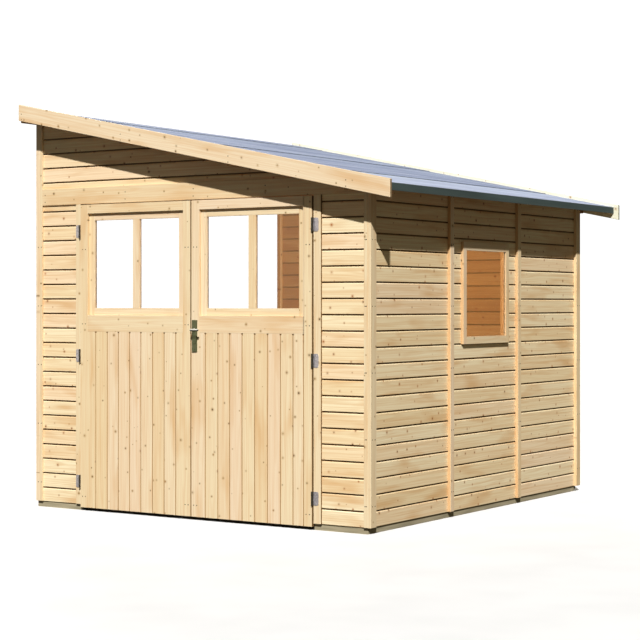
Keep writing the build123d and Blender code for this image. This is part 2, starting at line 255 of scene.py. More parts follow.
def pine(name, tones, dark, knot_dark, knot_red, roughness, contrast=1.0, end="#B08A58"):
    """Planed pine: pale bands between darker rings, shades from board to board, knots and darker ends."""
    made, shader = surface(name, roughness)
    grain = stored(made, "grain")
    number = stored(made, "board", "Fac")
    apart = put(made, "ShaderNodeVectorMath", {"operation": "SCALE"},
                {0: (31.0, 17.0, 23.0), "Scale": number})
    spot = put(made, "ShaderNodeVectorMath", {"operation": "ADD"}, {0: grain, 1: apart.outputs[0]}).outputs[0]

    def drawn(scale, detail):
        """Noise drawn out along the grain."""
        return stretched(made, spot, scale, detail).outputs["Fac"]

    def share(value, low, high, top, bottom=0.0, smooth=False):
        """Runs from bottom to top as the value runs from low to high."""
        kind = {"interpolation_type": "SMOOTHSTEP"} if smooth else {}
        sockets = {"Value": value, "From Min": low, "From Max": high, "To Min": bottom, "To Max": top}
        return put(made, "ShaderNodeMapRange", kind, sockets).outputs[0]

    def over(under, amount, colour):
        """A colour laid over another by an amount."""
        return put(made, "ShaderNodeMix", {"data_type": "RGBA"}, {0: amount, 6: under, 7: colour}).outputs[2]

    # The rings bend about once a metre, round a heart some 45 mm behind the face
    sway = stretched(made, spot, (1.1, 5.0, 5.0), 2.0)
    heart = put(made, "ShaderNodeMapping", {},
                {"Vector": grain, "Location": (0, -0.045, 0.015), "Scale": (0.06, 1.0, 1.0)}).outputs[0]
    bent = put(made, "ShaderNodeVectorMath", {"operation": "MULTIPLY_ADD"},
               {0: sway.outputs["Color"], 1: (0.0, 0.06, 0.045), 2: heart}).outputs[0]
    # Real rings are 2 to 4 mm apart, drawn here about 9 mm apart so that they show
    rings = put(made, "ShaderNodeTexWave", {"wave_type": "RINGS", "rings_direction": "X"},
                {"Vector": bent, "Scale": 34.0, "Distortion": 0.9, "Detail": 2.0,
                 "Detail Scale": 1.5}).outputs["Fac"]
    base = put(made, "ShaderNodeValToRGB", {"stops": tones}, {"Fac": number}).outputs["Color"]
    # Soft darker streaks about 15 mm wide, and finer ones of 6 mm, each about half a metre long
    face = over(base, share(rings, 0.55, 1.0, 0.22 * contrast), linear(dark))
    face = over(face, share(drawn((1.6, 62.0, 62.0), 3.0), 0.45, 0.75, 0.42 * contrast), linear(dark))
    face = over(face, share(drawn((2.2, 170.0, 170.0), 1.0), 0.5, 0.8, 0.4 * contrast), linear(dark))
    # Warmer patches a hand wide run for half a metre where the tree stored resin
    face = over(face, share(drawn((2.4, 11.0, 11.0), 2.0), 0.54, 0.74, 0.6 * contrast), linear(dark))
    # Knots from 2 to 7 mm in radius, about one to every 110 mm, some pale red and some nearly black
    knots = put(made, "ShaderNodeTexVoronoi", {"voronoi_dimensions": "2D"}, {"Vector": spot, "Scale": 9.0})
    away = knots.outputs["Distance"]
    lot = put(made, "ShaderNodeSeparateColor", {}, {0: knots.outputs["Color"]})
    reach = share(lot.outputs[0], 0.0, 1.0, 0.062, bottom=0.018)
    strong = share(lot.outputs[1], 0.0, 1.0, 1.0, bottom=0.4)
    heartwood = reckoned(made, "MULTIPLY", reach, 0.55)
    fringe = reckoned(made, "MULTIPLY", reach, 2.4)
    core = share(away, heartwood, reach, 0.0, bottom=1.0, smooth=True)
    halo = share(away, reach, fringe, 0.0, bottom=0.45, smooth=True)
    hard = reckoned(made, "MULTIPLY", core, strong)
    soft = reckoned(made, "MULTIPLY", halo, strong)
    knot_tone = over(linear(knot_red), lot.outputs[2], linear(knot_dark))
    face = over(over(face, soft, linear(knot_red)), hard, knot_tone)
    # Cut ends, the faces that look along the grain, are drawn darker than the planed faces
    run = stored(made, "run")
    normal = put(made, "ShaderNodeTexCoord", {}, {}).outputs["Normal"]
    turned = put(made, "ShaderNodeVectorMath", {"operation": "DOT_PRODUCT"},
                 {0: normal, 1: run}).outputs["Value"]
    square = reckoned(made, "ABSOLUTE", turned)
    colour = over(face, share(square, 0.85, 0.97, 0.85), linear(end))
    fibres = drawn((9.0, 420.0, 420.0), 2.0)
    relief = put(made, "ShaderNodeBump", {},
                 {"Height": fibres, "Strength": 0.25, "Distance": 0.0005}).outputs[0]
    made.node_tree.links.new(colour, shader.inputs["Base Color"])
    made.node_tree.links.new(relief, shader.inputs["Normal"])
    return made


# Bare pine seen inside, painted darker and warmer than outside: its colour holds the shade and the warm light
# bounced from board to board
inside_shade_pine = pine("pine_with_painted_inside_shade",
                   [(0.0, "#AE8451"), (0.35, "#A47949"), (0.7, "#B18A5A"), (1.0, "#9F7343")],
                   "#946337", "#5A3018", "#8E4F28", 0.65)

piece = new_piece()
stud_half = 0.030
stud_deep = 0.040
side_low, side_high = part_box("side_window_panel")
x_inner = side_low.x
stud_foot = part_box("wall_studs")[0].z
purlin_depth = 0.058
purlin_width = 0.045
purlin_foot = wall_top + (x_right - x_inner) * slope - purlin_depth
for y in (side_low.y, side_high.y):
    bar(piece, (x_inner - stud_deep, y - stud_half, stud_foot), (x_inner, y + stud_half, purlin_foot), "z")
back_low, back_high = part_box("back_middle_panel")
for x in (back_low.x, back_high.x):
    bar(piece, (x - stud_half, back_low.y - stud_deep, stud_foot), (x + stud_half, back_low.y, peak), "z",
        cuts=roof_plane)
y_front_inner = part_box("front_left_panel")[1].y
for y0, y1 in ((y_front_inner, y_front_inner + stud_deep), (back_low.y - stud_deep, back_low.y)):
    bar(piece, (x_inner - stud_deep, y0, stud_foot), (x_inner, y1, purlin_foot), "z")
finished(piece, "studs_of_the_walls", "shed", "planed_pine", "wall_studs", inside_shade_pine)

piece = new_piece()
posts_low, posts_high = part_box("door_posts")
left_jamb = 0.037
right_jamb = 0.048
for x0, x1 in ((posts_low.x, posts_low.x + left_jamb), (posts_high.x - right_jamb, posts_high.x)):
    bar(piece, (x0, posts_low.y, posts_low.z), (x1, posts_high.y, posts_high.z), "z")
finished(piece, "posts_beside_the_doorway", "shed", "planed_pine", "door_posts", inside_shade_pine)

piece = new_piece()
low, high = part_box("door_header")
bar(piece, low, high, "x", cuts=roof_plane)
finished(piece, "header_over_the_doors", "shed", "planed_pine", "door_header", inside_shade_pine)


# Wall boards
# Planed pine boards laid level, 87.5 mm from one to the next, with a sloped top edge that sheds water and an
# open shadow joint under the board above. They are nailed to the studs, and cut to the slope under the roof.
row = 0.0875
first_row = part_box("side_front_panel")[0].z
planed_pine = pine("planed_pine_boards",
                   [(0.0, "#F7E6BE"), (0.25, "#F3DCB0"), (0.5, "#F7DEB9"), (0.75, "#F0D8AA"),
                    (1.0, "#F8E8C1")],
                   "#D3A063", "#4A2C14", "#B5733C", 0.6)
# The tongue in each open joint stays in the shade, and its colour is painted dark as that shade
joint_shade_pine = pine("pine_with_painted_joint_shade", [(0.0, "#8C6C3E"), (1.0, "#7C5E34")], "#5E4526", "#3A2614",
                  "#553A20", 0.8)
tongue = 0.0085
top_bevel = 0.0135
board_thick = 0.019
crease = 0.004
inner_start = 0.0145


def board_outline(bottom, top):
    """Section of one board, from its drip edge below to the tongue behind the next board."""
    return [(bottom, 0.001), (bottom + 0.001, 0.0), (top - top_bevel, 0.0), (top - tongue, 0.004),
            (top - tongue, 0.010), (top, 0.010), (top, board_thick - crease), (top - crease, board_thick),
            (bottom + crease, board_thick), (bottom, board_thick - crease)]


def boarded(node, along, depth, cuts=(), window=None):
    """Boards over one wall element, as long and as high as its CAD box, round a window if it has one."""
    low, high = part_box(node)
    axis = 0 if along[0] else 1
    origin = (0, low.y if depth[1] > 0 else high.y, 0) if axis == 0 else (high.x, 0, 0)
    place = directions(along, (0, 0, 1), depth, origin)
    limits = list(cuts)
    if low.z > first_row:
        limits.append((Vector((0, 0, low.z)), Vector((0, 0, -1))))
    limits.append((Vector((0, 0, high.z)), Vector((0, 0, 1))))
    piece = new_piece()
    count = math.ceil((high.z - first_row) / row) + 1
    edges = [first_row + row * i for i in range(count + 1)]
    for bottom, top in zip(edges, edges[1:]):
        if top <= low.z or bottom >= high.z:
            continue
        number = shuffle.random()
        heart = ((bottom + top) / 2, board_thick / 2)
        runs = [(low[axis], high[axis], [])]
        if window and top > window[2] and bottom < window[3]:
            runs = [(low[axis], window[0], []), (window[1], high[axis], [])]
            if bottom < window[2]:
                runs.append((window[0], window[1], [(Vector((0, 0, window[2])), Vector((0, 0, 1)))]))
            if top > window[3]:
                runs.append((window[0], window[1], [(Vector((0, 0, window[3])), Vector((0, 0, -1)))]))
        for start, end, trims in runs:
            # The tongue and the chamfers behind take slot 2, the joint pine with its painted shade
            moulded(piece, board_outline(bottom, top), start, end, place, cuts=limits + trims,
                    heart=heart, board=number, inner=inner_start, seam=(bottom - row, top - tongue - 0.0005))
    finished(piece, node.replace("_panel", "_boards"), "shed", "pine_boards", node, planed_pine, inside_shade_pine,
             joint_shade_pine)


lining_low, lining_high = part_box("side_window_frame")
lining_gap = 0.020
window_hole = (lining_low.y + lining_gap, lining_high.y - lining_gap,
               lining_low.z + lining_gap, lining_high.z - lining_gap)
boarded("front_left_panel", (1, 0, 0), (0, 1, 0))
boarded("front_right_panel", (1, 0, 0), (0, 1, 0))
boarded("side_front_panel", (0, 1, 0), (-1, 0, 0), roof_plane)
boarded("side_window_panel", (0, 1, 0), (-1, 0, 0), roof_plane, window_hole)
boarded("side_rear_panel", (0, 1, 0), (-1, 0, 0), roof_plane)
boarded("back_right_panel", (1, 0, 0), (0, -1, 0), roof_plane)
boarded("back_middle_panel", (1, 0, 0), (0, -1, 0), roof_plane)
boarded("back_left_panel", (1, 0, 0), (0, -1, 0), roof_plane)

low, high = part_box("front_gable")
place = directions((1, 0, 0), (0, 0, 1), (0, 1, 0), (0, low.y, 0))
piece = new_piece()
for i in range(20, 28):
    bottom = first_row + row * i
    if bottom + row <= low.z:
        continue
    floor_cut = [(Vector((0, 0, low.z)), Vector((0, 0, -1)))]
    # The tongue and the chamfers behind take slot 2, the joint pine with its painted shade
    moulded(piece, board_outline(bottom, bottom + row), low.x, high.x, place, cuts=roof_plane + floor_cut,
            inner=inner_start, seam=(bottom - row, bottom + row - tongue - 0.0005))
finished(piece, "gable_boards", "shed", "pine_boards", "front_gable", planed_pine, inside_shade_pine, joint_shade_pine)


# Corner posts, trims and boards
# Planed pine uprights that close the corners: posts at the open left side, narrow strips over the ends of
# the level boards, and wider boards on the right wall. They are nailed on with two nails at a time.
trim_pine = pine("planed_pine_trim",
                 [(0.0, "#ECD9B4"), (0.35, "#E9D1A6"), (0.6, "#EDD5B5"), (0.8, "#EDD9B5"), (1.0, "#EAD5AB")],
                 "#D5A468", "#4A3214", "#A47C42", 0.58, contrast=0.9, end="#6F5836")
# The narrow sides of battens and casings that face the front are painted a darker, oranger tone: painted
# shade against the light bounced off the wall beside them
front_side_shade_pine = pine("pine_with_painted_shade_on_front_sides", [(0.0, "#DDBC8E"), (1.0, "#D6B384")], "#C8945A", "#4A3214", "#A47C42",
                 0.7)


def shade_front_sides(piece, slot):
    """Gives the faces that look to the front the slot of their painted shade."""
    piece.normal_update()
    mark((f for f in piece.faces if f.normal.y < -0.9 and f.calc_center_median().x > x_right), slot)


x_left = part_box("left_end_posts")[0].x
x_wall_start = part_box("left_end_posts")[1].x
y_front = low.y
y_back = -y_front
proud = 0.011
end_post_depth = 0.046
left_strip = 0.021
right_strip = 0.025

under_purlin = wall_top + (x_right - x_left - purlin_width) * slope - purlin_depth
piece = new_piece()
bar(piece, (x_left, y_front - proud, first_row), (x_wall_start, y_front + end_post_depth, under_purlin), "z")
bar(piece, (x_left, y_back - end_post_depth, first_row), (x_wall_start, y_back + proud, under_purlin), "z")
# The inside face of the back post takes the inside pine, painted shade
piece.normal_update()
mark((f for f in piece.faces if f.normal.y < -0.9 and f.calc_center_median().y > 0), 1)
finished(piece, "posts_at_the_open_side", "shed", "planed_pine", "left_end_posts", trim_pine, inside_shade_pine)

for node, y0, y1 in (("front_corner_trims", y_front - proud, y_front),
                     ("rear_corner_trims", y_back, y_back + proud)):
    piece = new_piece()
    bar(piece, (x_wall_start, y0, first_row), (x_wall_start + left_strip, y1, peak), "z", cuts=roof_plane)
    bar(piece, (x_right - right_strip, y0, first_row), (x_right, y1, peak), "z", cuts=roof_plane)
    finished(piece, node.replace("trims", "strips"), "shed", "planed_pine", node, trim_pine)

piece = new_piece()
corner_width = 0.057
corner_out = 0.020
for y0 in (y_front - proud, y_back + proud - corner_width):
    bar(piece, (x_right, y0, first_row), (x_right + corner_out, y0 + corner_width, peak), "z",
        cuts=roof_plane)
finished(piece, "corner_boards_of_the_right_wall", "shed", "planed_pine", "side_corner_boards", trim_pine)


# Cover battens
# Planed pine battens over the joints between the wall elements, nailed from outside through the boards.
batten_half = 0.021
batten_out = 0.020
piece = new_piece()
for y in (side_low.y, side_high.y):
    bar(piece, (x_right, y - batten_half, first_row), (x_right + batten_out, y + batten_half, peak), "z",
        ease=0.002, cuts=roof_plane)
shade_front_sides(piece, 1)
finished(piece, "battens_of_the_right_wall", "shed", "planed_pine", "side_cover_battens", trim_pine,
         front_side_shade_pine)

piece = new_piece()
for x in (back_low.x, back_high.x):
    bar(piece, (x - batten_half, y_back, first_row), (x + batten_half, y_back + batten_out, peak), "z",
        ease=0.002, cuts=roof_plane)
finished(piece, "battens_of_the_back_wall", "shed", "planed_pine", "back_cover_battens", trim_pine)


# Doorway
# Planed pine jambs stand on both sides of the doors, and a deep plank of the same pine lies over them.
# They stand 11 mm proud of the boards, and are screwed to the posts and the header behind.
piece = new_piece()
low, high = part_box("door_jambs")
for x0, x1 in ((low.x, low.x + left_jamb), (high.x - right_jamb, high.x)):
    bar(piece, (x0, low.y, low.z), (x1, high.y, high.z), "z")
# The side faces of the jambs take the joint pine, painted shade of the gaps beside them
piece.normal_update()
mark((f for f in piece.faces if abs(f.normal.x) > 0.9), 1)
finished(piece, "jambs_of_the_doorway", "shed", "planed_pine", "door_jambs", trim_pine, joint_shade_pine)

piece = new_piece()
low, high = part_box("door_lintel")
bar(piece, (x_wall_start + left_strip, low.y, low.z), (x_right - right_strip, high.y, high.z), "x",
    ease=0.002, cuts=roof_plane)
finished(piece, "plank_over_the_doors", "shed", "planed_pine", "door_lintel", trim_pine)


# Side window
# A fixed window: one flat casing of planed pine nailed on the boards, 18 mm proud of them, with a pane of
# clear float glass in a rebate 11 mm behind its face. A lining of bare pine runs back through the wall.
low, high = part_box("side_window_frame")
pane_low, pane_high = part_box("side_window_pane")
pane_front = high.x - 0.011
rebate = 0.006
lips = (pane_low.y, pane_high.y, pane_low.z, pane_high.z)
rebates = (lips[0] - rebate, lips[1] + rebate, lips[2] - rebate, lips[3] + rebate)


def ring_of_bars(piece, x0, x1, outer, inner, ease):
    """Four bars round an opening in the right wall. Outer and inner are (y, y, z, z)."""
    bar(piece, (x0, outer[0], outer[2]), (x1, inner[0], outer[3]), "z", ease=ease)
    bar(piece, (x0, inner[1], outer[2]), (x1, outer[1], outer[3]), "z", ease=ease)
    bar(piece, (x0, inner[0], outer[2]), (x1, inner[1], inner[2]), "y", ease=ease)
    bar(piece, (x0, inner[0], inner[3]), (x1, inner[1], outer[3]), "y", ease=ease)


piece = new_piece()
ring_of_bars(piece, pane_front, high.x, (low.y, high.y, low.z, high.z), lips, 0.001)
ring_of_bars(piece, x_right, pane_front, (low.y, high.y, low.z, high.z), rebates, 0)
# The lining takes the inside pine, painted shade of the room behind the glass
casing = len(piece.faces)
ring_of_bars(piece, low.x, x_right, window_hole, lips, 0.001)
piece.faces.ensure_lookup_table()
mark(piece.faces[casing:], 1)
shade_front_sides(piece, 2)
finished(piece, "casing_and_lining_of_the_side_window", "shed", "planed_pine", "side_window_frame", trim_pine,
         inside_shade_pine, front_side_shade_pine)

# Clear float glass, 4 mm, without colour and with hardly a ripple
glass, shader = surface("clear_float_glass", 0.02)
shader.inputs["Base Color"].default_value = linear("#FFFFFF")
shader.inputs["Transmission Weight"].default_value = 1.0
shader.inputs["IOR"].default_value = 1.45
place = put(glass, "ShaderNodeTexCoord", {}, {}).outputs["Object"]
wave = put(glass, "ShaderNodeTexNoise", {}, {"Vector": place, "Scale": 3.0, "Detail": 0.0}).outputs["Fac"]
ripple = put(glass, "ShaderNodeBump", {}, {"Height": wave, "Strength": 0.05, "Distance": 0.0005}).outputs[0]
glass.node_tree.links.new(ripple, shader.inputs["Normal"])


def dress(node, material):
    """Gives a CAD node that keeps its shape a finish of its own."""
    mesh = nodes[node].data
    mesh.materials.clear()
    mesh.materials.append(material)


piece = new_piece()
bar(piece, (pane_front - 0.004, rebates[0], rebates[2]), (pane_front, rebates[1], rebates[3]), "y",
    ease=0.0003)
finished(piece, "glass_of_the_side_window", "shed", "clear_glazing", "side_window_pane", glass)


# Purlins
# Squared pine bars that carry the roof boards from the front verge to the back one. They are notched into
# the front gable and the top of the back wall.
low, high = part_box("roof_purlins")
piece = new_piece()
for i in range(4):
    x0 = low.x + (high.x - purlin_width - low.x) * i / 3
    under = wall_top + (x_right - x0 - purlin_width) * slope
    bar(piece, (x0, low.y, under - purlin_depth), (x0 + purlin_width, high.y, under + 0.020), "y",
        ease=0.002, cuts=roof_plane)
finished(piece, "purlins_under_the_roof", "shed", "sawn_pine", "roof_purlins", inside_shade_pine)


# Roof boards and eave strip
# Tongued pine boards run from the high side down to the eave, each about 96 mm wide with a fine vee between.
# A small strip under their lower ends stiffens the eave and takes the nails of the felt.
deck_rise = board_thick / slope_cos
x_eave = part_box("eave_strip")[1].x
low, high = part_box("roof_boards")
origin = (x_right, 0, wall_top)
tilted = directions((1, 0, -slope), (0, 1, 0), (0, 0, 1), origin)
plank_count = 30
plank = (high.y - low.y) / plank_count
vee = 0.002
piece = new_piece()
for i in range(plank_count):
    y0 = low.y + plank * i
    y1 = y0 + plank
    outline = [(y0, vee), (y0 + vee, 0.0), (y1 - vee, 0.0), (y1, vee), (y1, deck_rise), (y0, deck_rise)]
    moulded(piece, outline, low.x - x_right, x_eave - x_right, tilted)
finished(piece, "boards_of_the_roof", "shed", "pine_boards", "roof_boards", inside_shade_pine)

piece = new_piece()
strip = 0.020
outline = [(low.y, -strip), (high.y, -strip), (high.y, 0.0), (low.y, 0.0)]
moulded(piece, outline, x_eave - strip - x_right, x_eave - x_right, tilted, ease=0.001)
finished(piece, "strip_under_the_eave", "shed", "sawn_pine", "eave_strip", inside_shade_pine)


# Roofing felt
# Strips of mineral-faced bitumen felt laid level from the eave up, a half strip first and then whole ones,
# each lapped 80 mm over the one below. A turned-down edge of the felt hangs over the eave.
felt_thick = 0.003
felt = felt_thick / slope_cos
lap = 0.080
strip_lengths = (0.500, 0.920, 0.920, 0.920)
apron_drop = 0.042
low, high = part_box("roof_felt")
felt_bottom = deck_rise
piece = new_piece()
lower = x_eave
for i, length in enumerate(strip_lengths):
    upper = max(lower - (length + lap) * slope_cos, low.x)
    edge = lower + (felt_thick if i == 0 else 0.0)
    rise = 0.0 if i == 0 else felt / (lower - upper)
    laid = directions((1, 0, rise - slope), (0, 1, 0), (0, 0, 1),
                      (x_right, 0, wall_top - rise * (upper - x_right)))
    outline = [(low.y, felt_bottom), (high.y, felt_bottom), (high.y, felt_bottom + felt),
               (low.y, felt_bottom + felt)]
    # The lowest strip is numbered 1.0, which the felt's shader turns into a painted highlight
    moulded(piece, outline, upper - x_right, edge - x_right, laid, board=1.0 if i == 0 else 0.3)
    lower -= length * slope_cos
# The cut edge at each lap takes the dark edge of the felt: black bitumen, darkened further with painted shade
piece.normal_update()
mark((f for f in piece.faces if f.normal.x > 0.9), 1)
turn = directions((0, 1, 0), (0, 0, 1), (1, 0, 0))
eave_top = wall_top + (x_right - x_eave) * slope + deck_rise
outline = [(eave_top + felt - apron_drop, x_eave), (eave_top, x_eave),
           (eave_top, x_eave + felt_thick), (eave_top + felt - apron_drop, x_eave + felt_thick)]
# All faces of the turned-down edge take slot 1, its painted shade
moulded(piece, outline, low.y, high.y, turn, board=0.0, inner=x_eave - 0.001)


def chipped(name, low_tone, tone, high_tone, speck):
    """Felt faced with slate chippings: dull and sandy, with paler worn streaks across the roof's fall."""
    made, shader = surface(name, 0.85)
    place = put(made, "ShaderNodeTexCoord", {}, {}).outputs["Object"]
    # Chippings are 1 to 2 mm, drawn here about 4 mm so that they show
    chips = put(made, "ShaderNodeTexNoise", {},
                {"Vector": place, "Scale": 260.0, "Detail": 2.0}).outputs["Fac"]
    worn = stretched(made, place, (14.0, 1.2, 14.0), 3.0).outputs["Fac"]
    base = put(made, "ShaderNodeValToRGB",
               {"stops": [(0.3, low_tone), (0.5, tone), (0.7, high_tone)]}, {"Fac": worn}).outputs["Color"]
    dark = put(made, "ShaderNodeMapRange", {},
               {"Value": chips, "From Min": 0.45, "From Max": 0.7, "To Max": 0.5}).outputs[0]
    grit = put(made, "ShaderNodeMix", {"data_type": "RGBA"}, {0: dark, 6: base, 7: linear(speck)}).outputs[2]
    # The lowest strip, numbered 1.0, is mixed toward a pale blue: a painted highlight along the eave
    strip_number = stored(made, "board", "Fac")
    lowest_strip_highlight = put(made, "ShaderNodeMapRange", {},
                {"Value": strip_number, "From Min": 0.3, "To Max": 0.35}).outputs[0]
    colour = put(made, "ShaderNodeMix", {"data_type": "RGBA"},
                 {0: lowest_strip_highlight, 6: grit, 7: linear("#D5DEF2")}).outputs[2]
    relief = put(made, "ShaderNodeBump", {}, {"Height": chips, "Strength": 0.5, "Distance": 0.001}).outputs[0]
    made.node_tree.links.new(colour, shader.inputs["Base Color"])
    made.node_tree.links.new(relief, shader.inputs["Normal"])
    return made


# Blue-grey slate chippings pressed into bitumen, and the turned-down edge painted dark teal as the shade
# under the eave
roofing = chipped("mineral_roofing_felt", "#6C7795", "#8893AE", "#A8B1C7", "#5D6786")
felt_edge_shade = chipped("felt_edge_with_painted_shade", "#36433F", "#3F4D4A", "#4A5854", "#2D3735")
finished(piece, "felt_of_the_roof", "shed", "roofing_felt", "roof_felt", roofing, felt_edge_shade)


# Bargeboards
# A planed pine board along each verge, 95 mm deep, nailed to the ends of the purlins and cut plumb at
# both ends.
barge_top = deck_rise + felt + 0.020
barge_depth = 0.095 / slope_cos
# The rear one is painted nearly white, a painted highlight of the strong sun on it
highlit_pine = pine("pine_with_painted_highlight", [(0.0, "#EEECD6"), (1.0, "#EAE6CC")], "#D6C69C", "#8A6A45",
                     "#B98F63", 0.6, contrast=0.5, end="#6A6A50")
verge_inset = 0.0004
for node, wood in (("front_bargeboard", trim_pine), ("rear_bargeboard", highlit_pine)):
    low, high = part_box(node)
    inset = Vector((0, verge_inset, 0))
    low, high = low + inset, high - inset
    piece = new_piece()
    verge = directions((1, 0, -slope), (0, 0, 1), (0, 1, 0), origin)
    outline = [(barge_top - barge_depth, low.y), (barge_top, low.y), (barge_top, high.y),
               (barge_top - barge_depth, high.y)]
    moulded(piece, outline, low.x - x_right, high.x - x_right, verge, ease=0.002)
    finished(piece, node.replace("bargeboard", "verge_board"), "shed", "planed_pine", node, wood)


# Door leaves
# Two leaves of upright tongued pine boards 86 mm wide, with a vee at each joint. A flat rail covers their
# tops under the window, a shorter one lies over it, and outer boards run up beside it to the full height.
leaf_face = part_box("left_door_boards")[0].y
vee = 0.003
tip = 0.008
sash_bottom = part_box("left_door_sash")[0].z
board_low, board_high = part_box("left_door_boards")
rail_bottom = board_high.z
leaf_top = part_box("left_door_frame")[1].z
thick = 0.019
top_rail = 0.053
upright = directions((0, 0, 1), (1, 0, 0), (0, 1, 0), (0, leaf_face, 0))
level = directions((1, 0, 0), (0, 0, 1), (0, 1, 0), (0, leaf_face, 0))


def plank_outline(x0, x1, left_vee, right_vee):
    """Section of an upright board, with a vee of the given size on either outer edge."""
    return [(x0, left_vee), (x0 + left_vee, 0.0), (x1 - right_vee, 0.0), (x1, right_vee), (x1, thick),
            (x0, thick)]


# Both sides of each vee are painted darker and redder, a painted shade for the groove
vee_shade_pine = pine("pine_with_painted_vee_shade", [(0.0, "#B28B58"), (1.0, "#A67F4E")], "#8E683C", "#5E3C20",
                "#7E5530", 0.65)


def leaf(side, body, joints):
    """The boards and rails of one leaf, from the joints between its boards."""
    low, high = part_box(side + "_door_boards")
    sash_low, sash_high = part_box(side + "_door_sash")
    edges = [low.x] + joints + [high.x]
    boards = new_piece()
    outer = new_piece()
    for i, (x0, x1) in enumerate(zip(edges, edges[1:])):
        number = shuffle.random()
        heart = ((x0 + x1) / 2, thick / 2)
        left = vee if i else 0.001
        right = vee if i < len(edges) - 2 else 0.001
        # The vee faces take slot 2, the painted vee shade
        seam = (x0 + left + 0.0001, x1 - right - 0.0001)
        if x1 <= sash_low.x + 0.001 or x0 >= sash_high.x - 0.001:
            moulded(outer, plank_outline(x0, x1, left, right), board_low.z, leaf_top, upright,
                    heart=heart, board=number, seam=seam)
            continue
        moulded(boards, plank_outline(x0, x1, left, right), board_low.z, rail_bottom - tip, upright,
                heart=heart, board=number, seam=seam)
        # Under the rail the vees deepen, and their faces take slot 3, the joint pine painted as shade, so
        # each groove ends in a dark notch
        ends = (x0 + 2 * left + 0.0001, x1 - 2 * right - 0.0001)
        moulded(boards, plank_outline(x0, x1, 2 * left, 2 * right), rail_bottom - tip, rail_bottom, upright,
                heart=heart, board=number, seam=ends, seam_slot=3)
        if x0 < sash_low.x:
            moulded(outer, plank_outline(x0, sash_low.x, left, 0.001), rail_bottom, leaf_top, upright,
                    heart=heart, board=number)
        if x1 > sash_high.x:
            moulded(outer, plank_outline(sash_high.x, x1, 0.001, right), rail_bottom, leaf_top, upright,
                    heart=heart, board=number)
    opening_top = leaf_top - top_rail
    for z0, z1 in ((rail_bottom, sash_bottom), (opening_top, leaf_top)):
        outline = [(z0, 0.0), (z1, 0.0), (z1, thick), (z0, thick)]
        moulded(outer, outline, sash_low.x, sash_high.x, level, ease=0.001)
    # The outer edges of the leaf take slot 3, the joint pine painted as the shade in the gaps
    for face in outer.faces:
        spread = [v.co.x for v in face.verts]
        if max(spread) < low.x + 0.0012 or min(spread) > high.x - 0.0012:
            face.material_index = 3
    finished(boards, side + "_door_upright_boards", body, "pine_boards", side + "_door_boards", trim_pine,
             inside_shade_pine, vee_shade_pine, joint_shade_pine)
    finished(outer, side + "_door_rails_and_outer_boards", body, "planed_pine", side + "_door_frame",
             trim_pine, inside_shade_pine, vee_shade_pine, joint_shade_pine)


leaf("left", "left_door", [-0.8186, -0.7299, -0.6458, -0.5601, -0.4762, -0.3891, -0.3045, -0.2198])
leaf("right", "right_door", [-0.0085, 0.0798, 0.1626, 0.2475, 0.3340, 0.4210, 0.5076, 0.5910, 0.6605])


# Door windows
# A planed pine sash of two stiles, two rails and one upright bar is set 17 mm back in each leaf. Its
# opening is a little too high, so a dark gap shows on top. Each half holds a pane of the same float glass.
for side, body in (("left", "left_door"), ("right", "right_door")):
    low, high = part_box(side + "_door_sash")
    pane_low, pane_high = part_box(side + "_door_panes")
    middle = (low.x + high.x) / 2
    half_bar = 0.0245
    piece = new_piece()
    for y0, y1 in ((low.y, pane_high.y), (pane_high.y, high.y)):
        outer_faces = len(piece.faces)
        bar(piece, (low.x, y0, low.z), (pane_low.x, y1, high.z), "z")
        bar(piece, (pane_high.x, y0, low.z), (high.x, y1, high.z), "z")
        bar(piece, (pane_low.x, y0, low.z), (pane_high.x, y1, pane_low.z), "x")
        bar(piece, (pane_low.x, y0, pane_high.z), (pane_high.x, y1, high.z), "x")
        bar(piece, (middle - half_bar, y0, pane_low.z), (middle + half_bar, y1, pane_high.z), "z")
    # The halves behind the panes take the inside pine, painted shade
    piece.faces.ensure_lookup_table()
    mark(piece.faces[outer_faces:], 1)
    finished(piece, side + "_door_window_frame", body, "planed_pine", side + "_door_sash", trim_pine,
             inside_shade_pine)
    dress(side + "_door_panes", glass)


# Frames behind the doors
# Planed pine rails and stiles screwed on the inner face of each leaf hold its boards together.
for side, body in (("left", "left_door"), ("right", "right_door")):
    low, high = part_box(side + "_door_back_frame")
    sash_low, sash_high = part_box(side + "_door_sash")
    pane_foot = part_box(side + "_door_panes")[0].z
    wide = 0.062
    rail = 0.090
    piece = new_piece()
    bar(piece, low, (low.x + wide, high.y, high.z), "z")
    bar(piece, (high.x - wide, low.y, low.z), high, "z")
    bar(piece, (low.x + wide, low.y, low.z), (high.x - wide, high.y, low.z + rail), "x")
    bar(piece, (low.x + wide, low.y, pane_foot - rail), (high.x - wide, high.y, sash_low.z), "x")
    bar(piece, (low.x + wide, low.y, sash_high.z), (high.x - wide, high.y, high.z), "x")
    finished(piece, side + "_door_inner_frame", body, "planed_pine", side + "_door_back_frame", trim_pine)


# Hinges
# Three zinc-plated steel hinges a leaf, screwed flat on the jamb with a round-ended plate. The pin and the
# two outer knuckles belong to the plate, and the middle knuckle to a leaf bent round the door's edge.
zinc = flecked("zinc_plated_steel", 0.38, 120.0, [(0.3, "#A8A2A4"), (0.6, "#CBC5C7"), (0.8, "#DDD8D9")],
               metallic=0.6, detail=3.0)
# The same steel painted black as shade, on the knuckles, the pins and the lever's underside
steel_shade = flecked("steel_with_painted_shade", 0.5, 200.0, [(0.3, "#2E2A22"), (0.7, "#4C463A")], metallic=0.5)


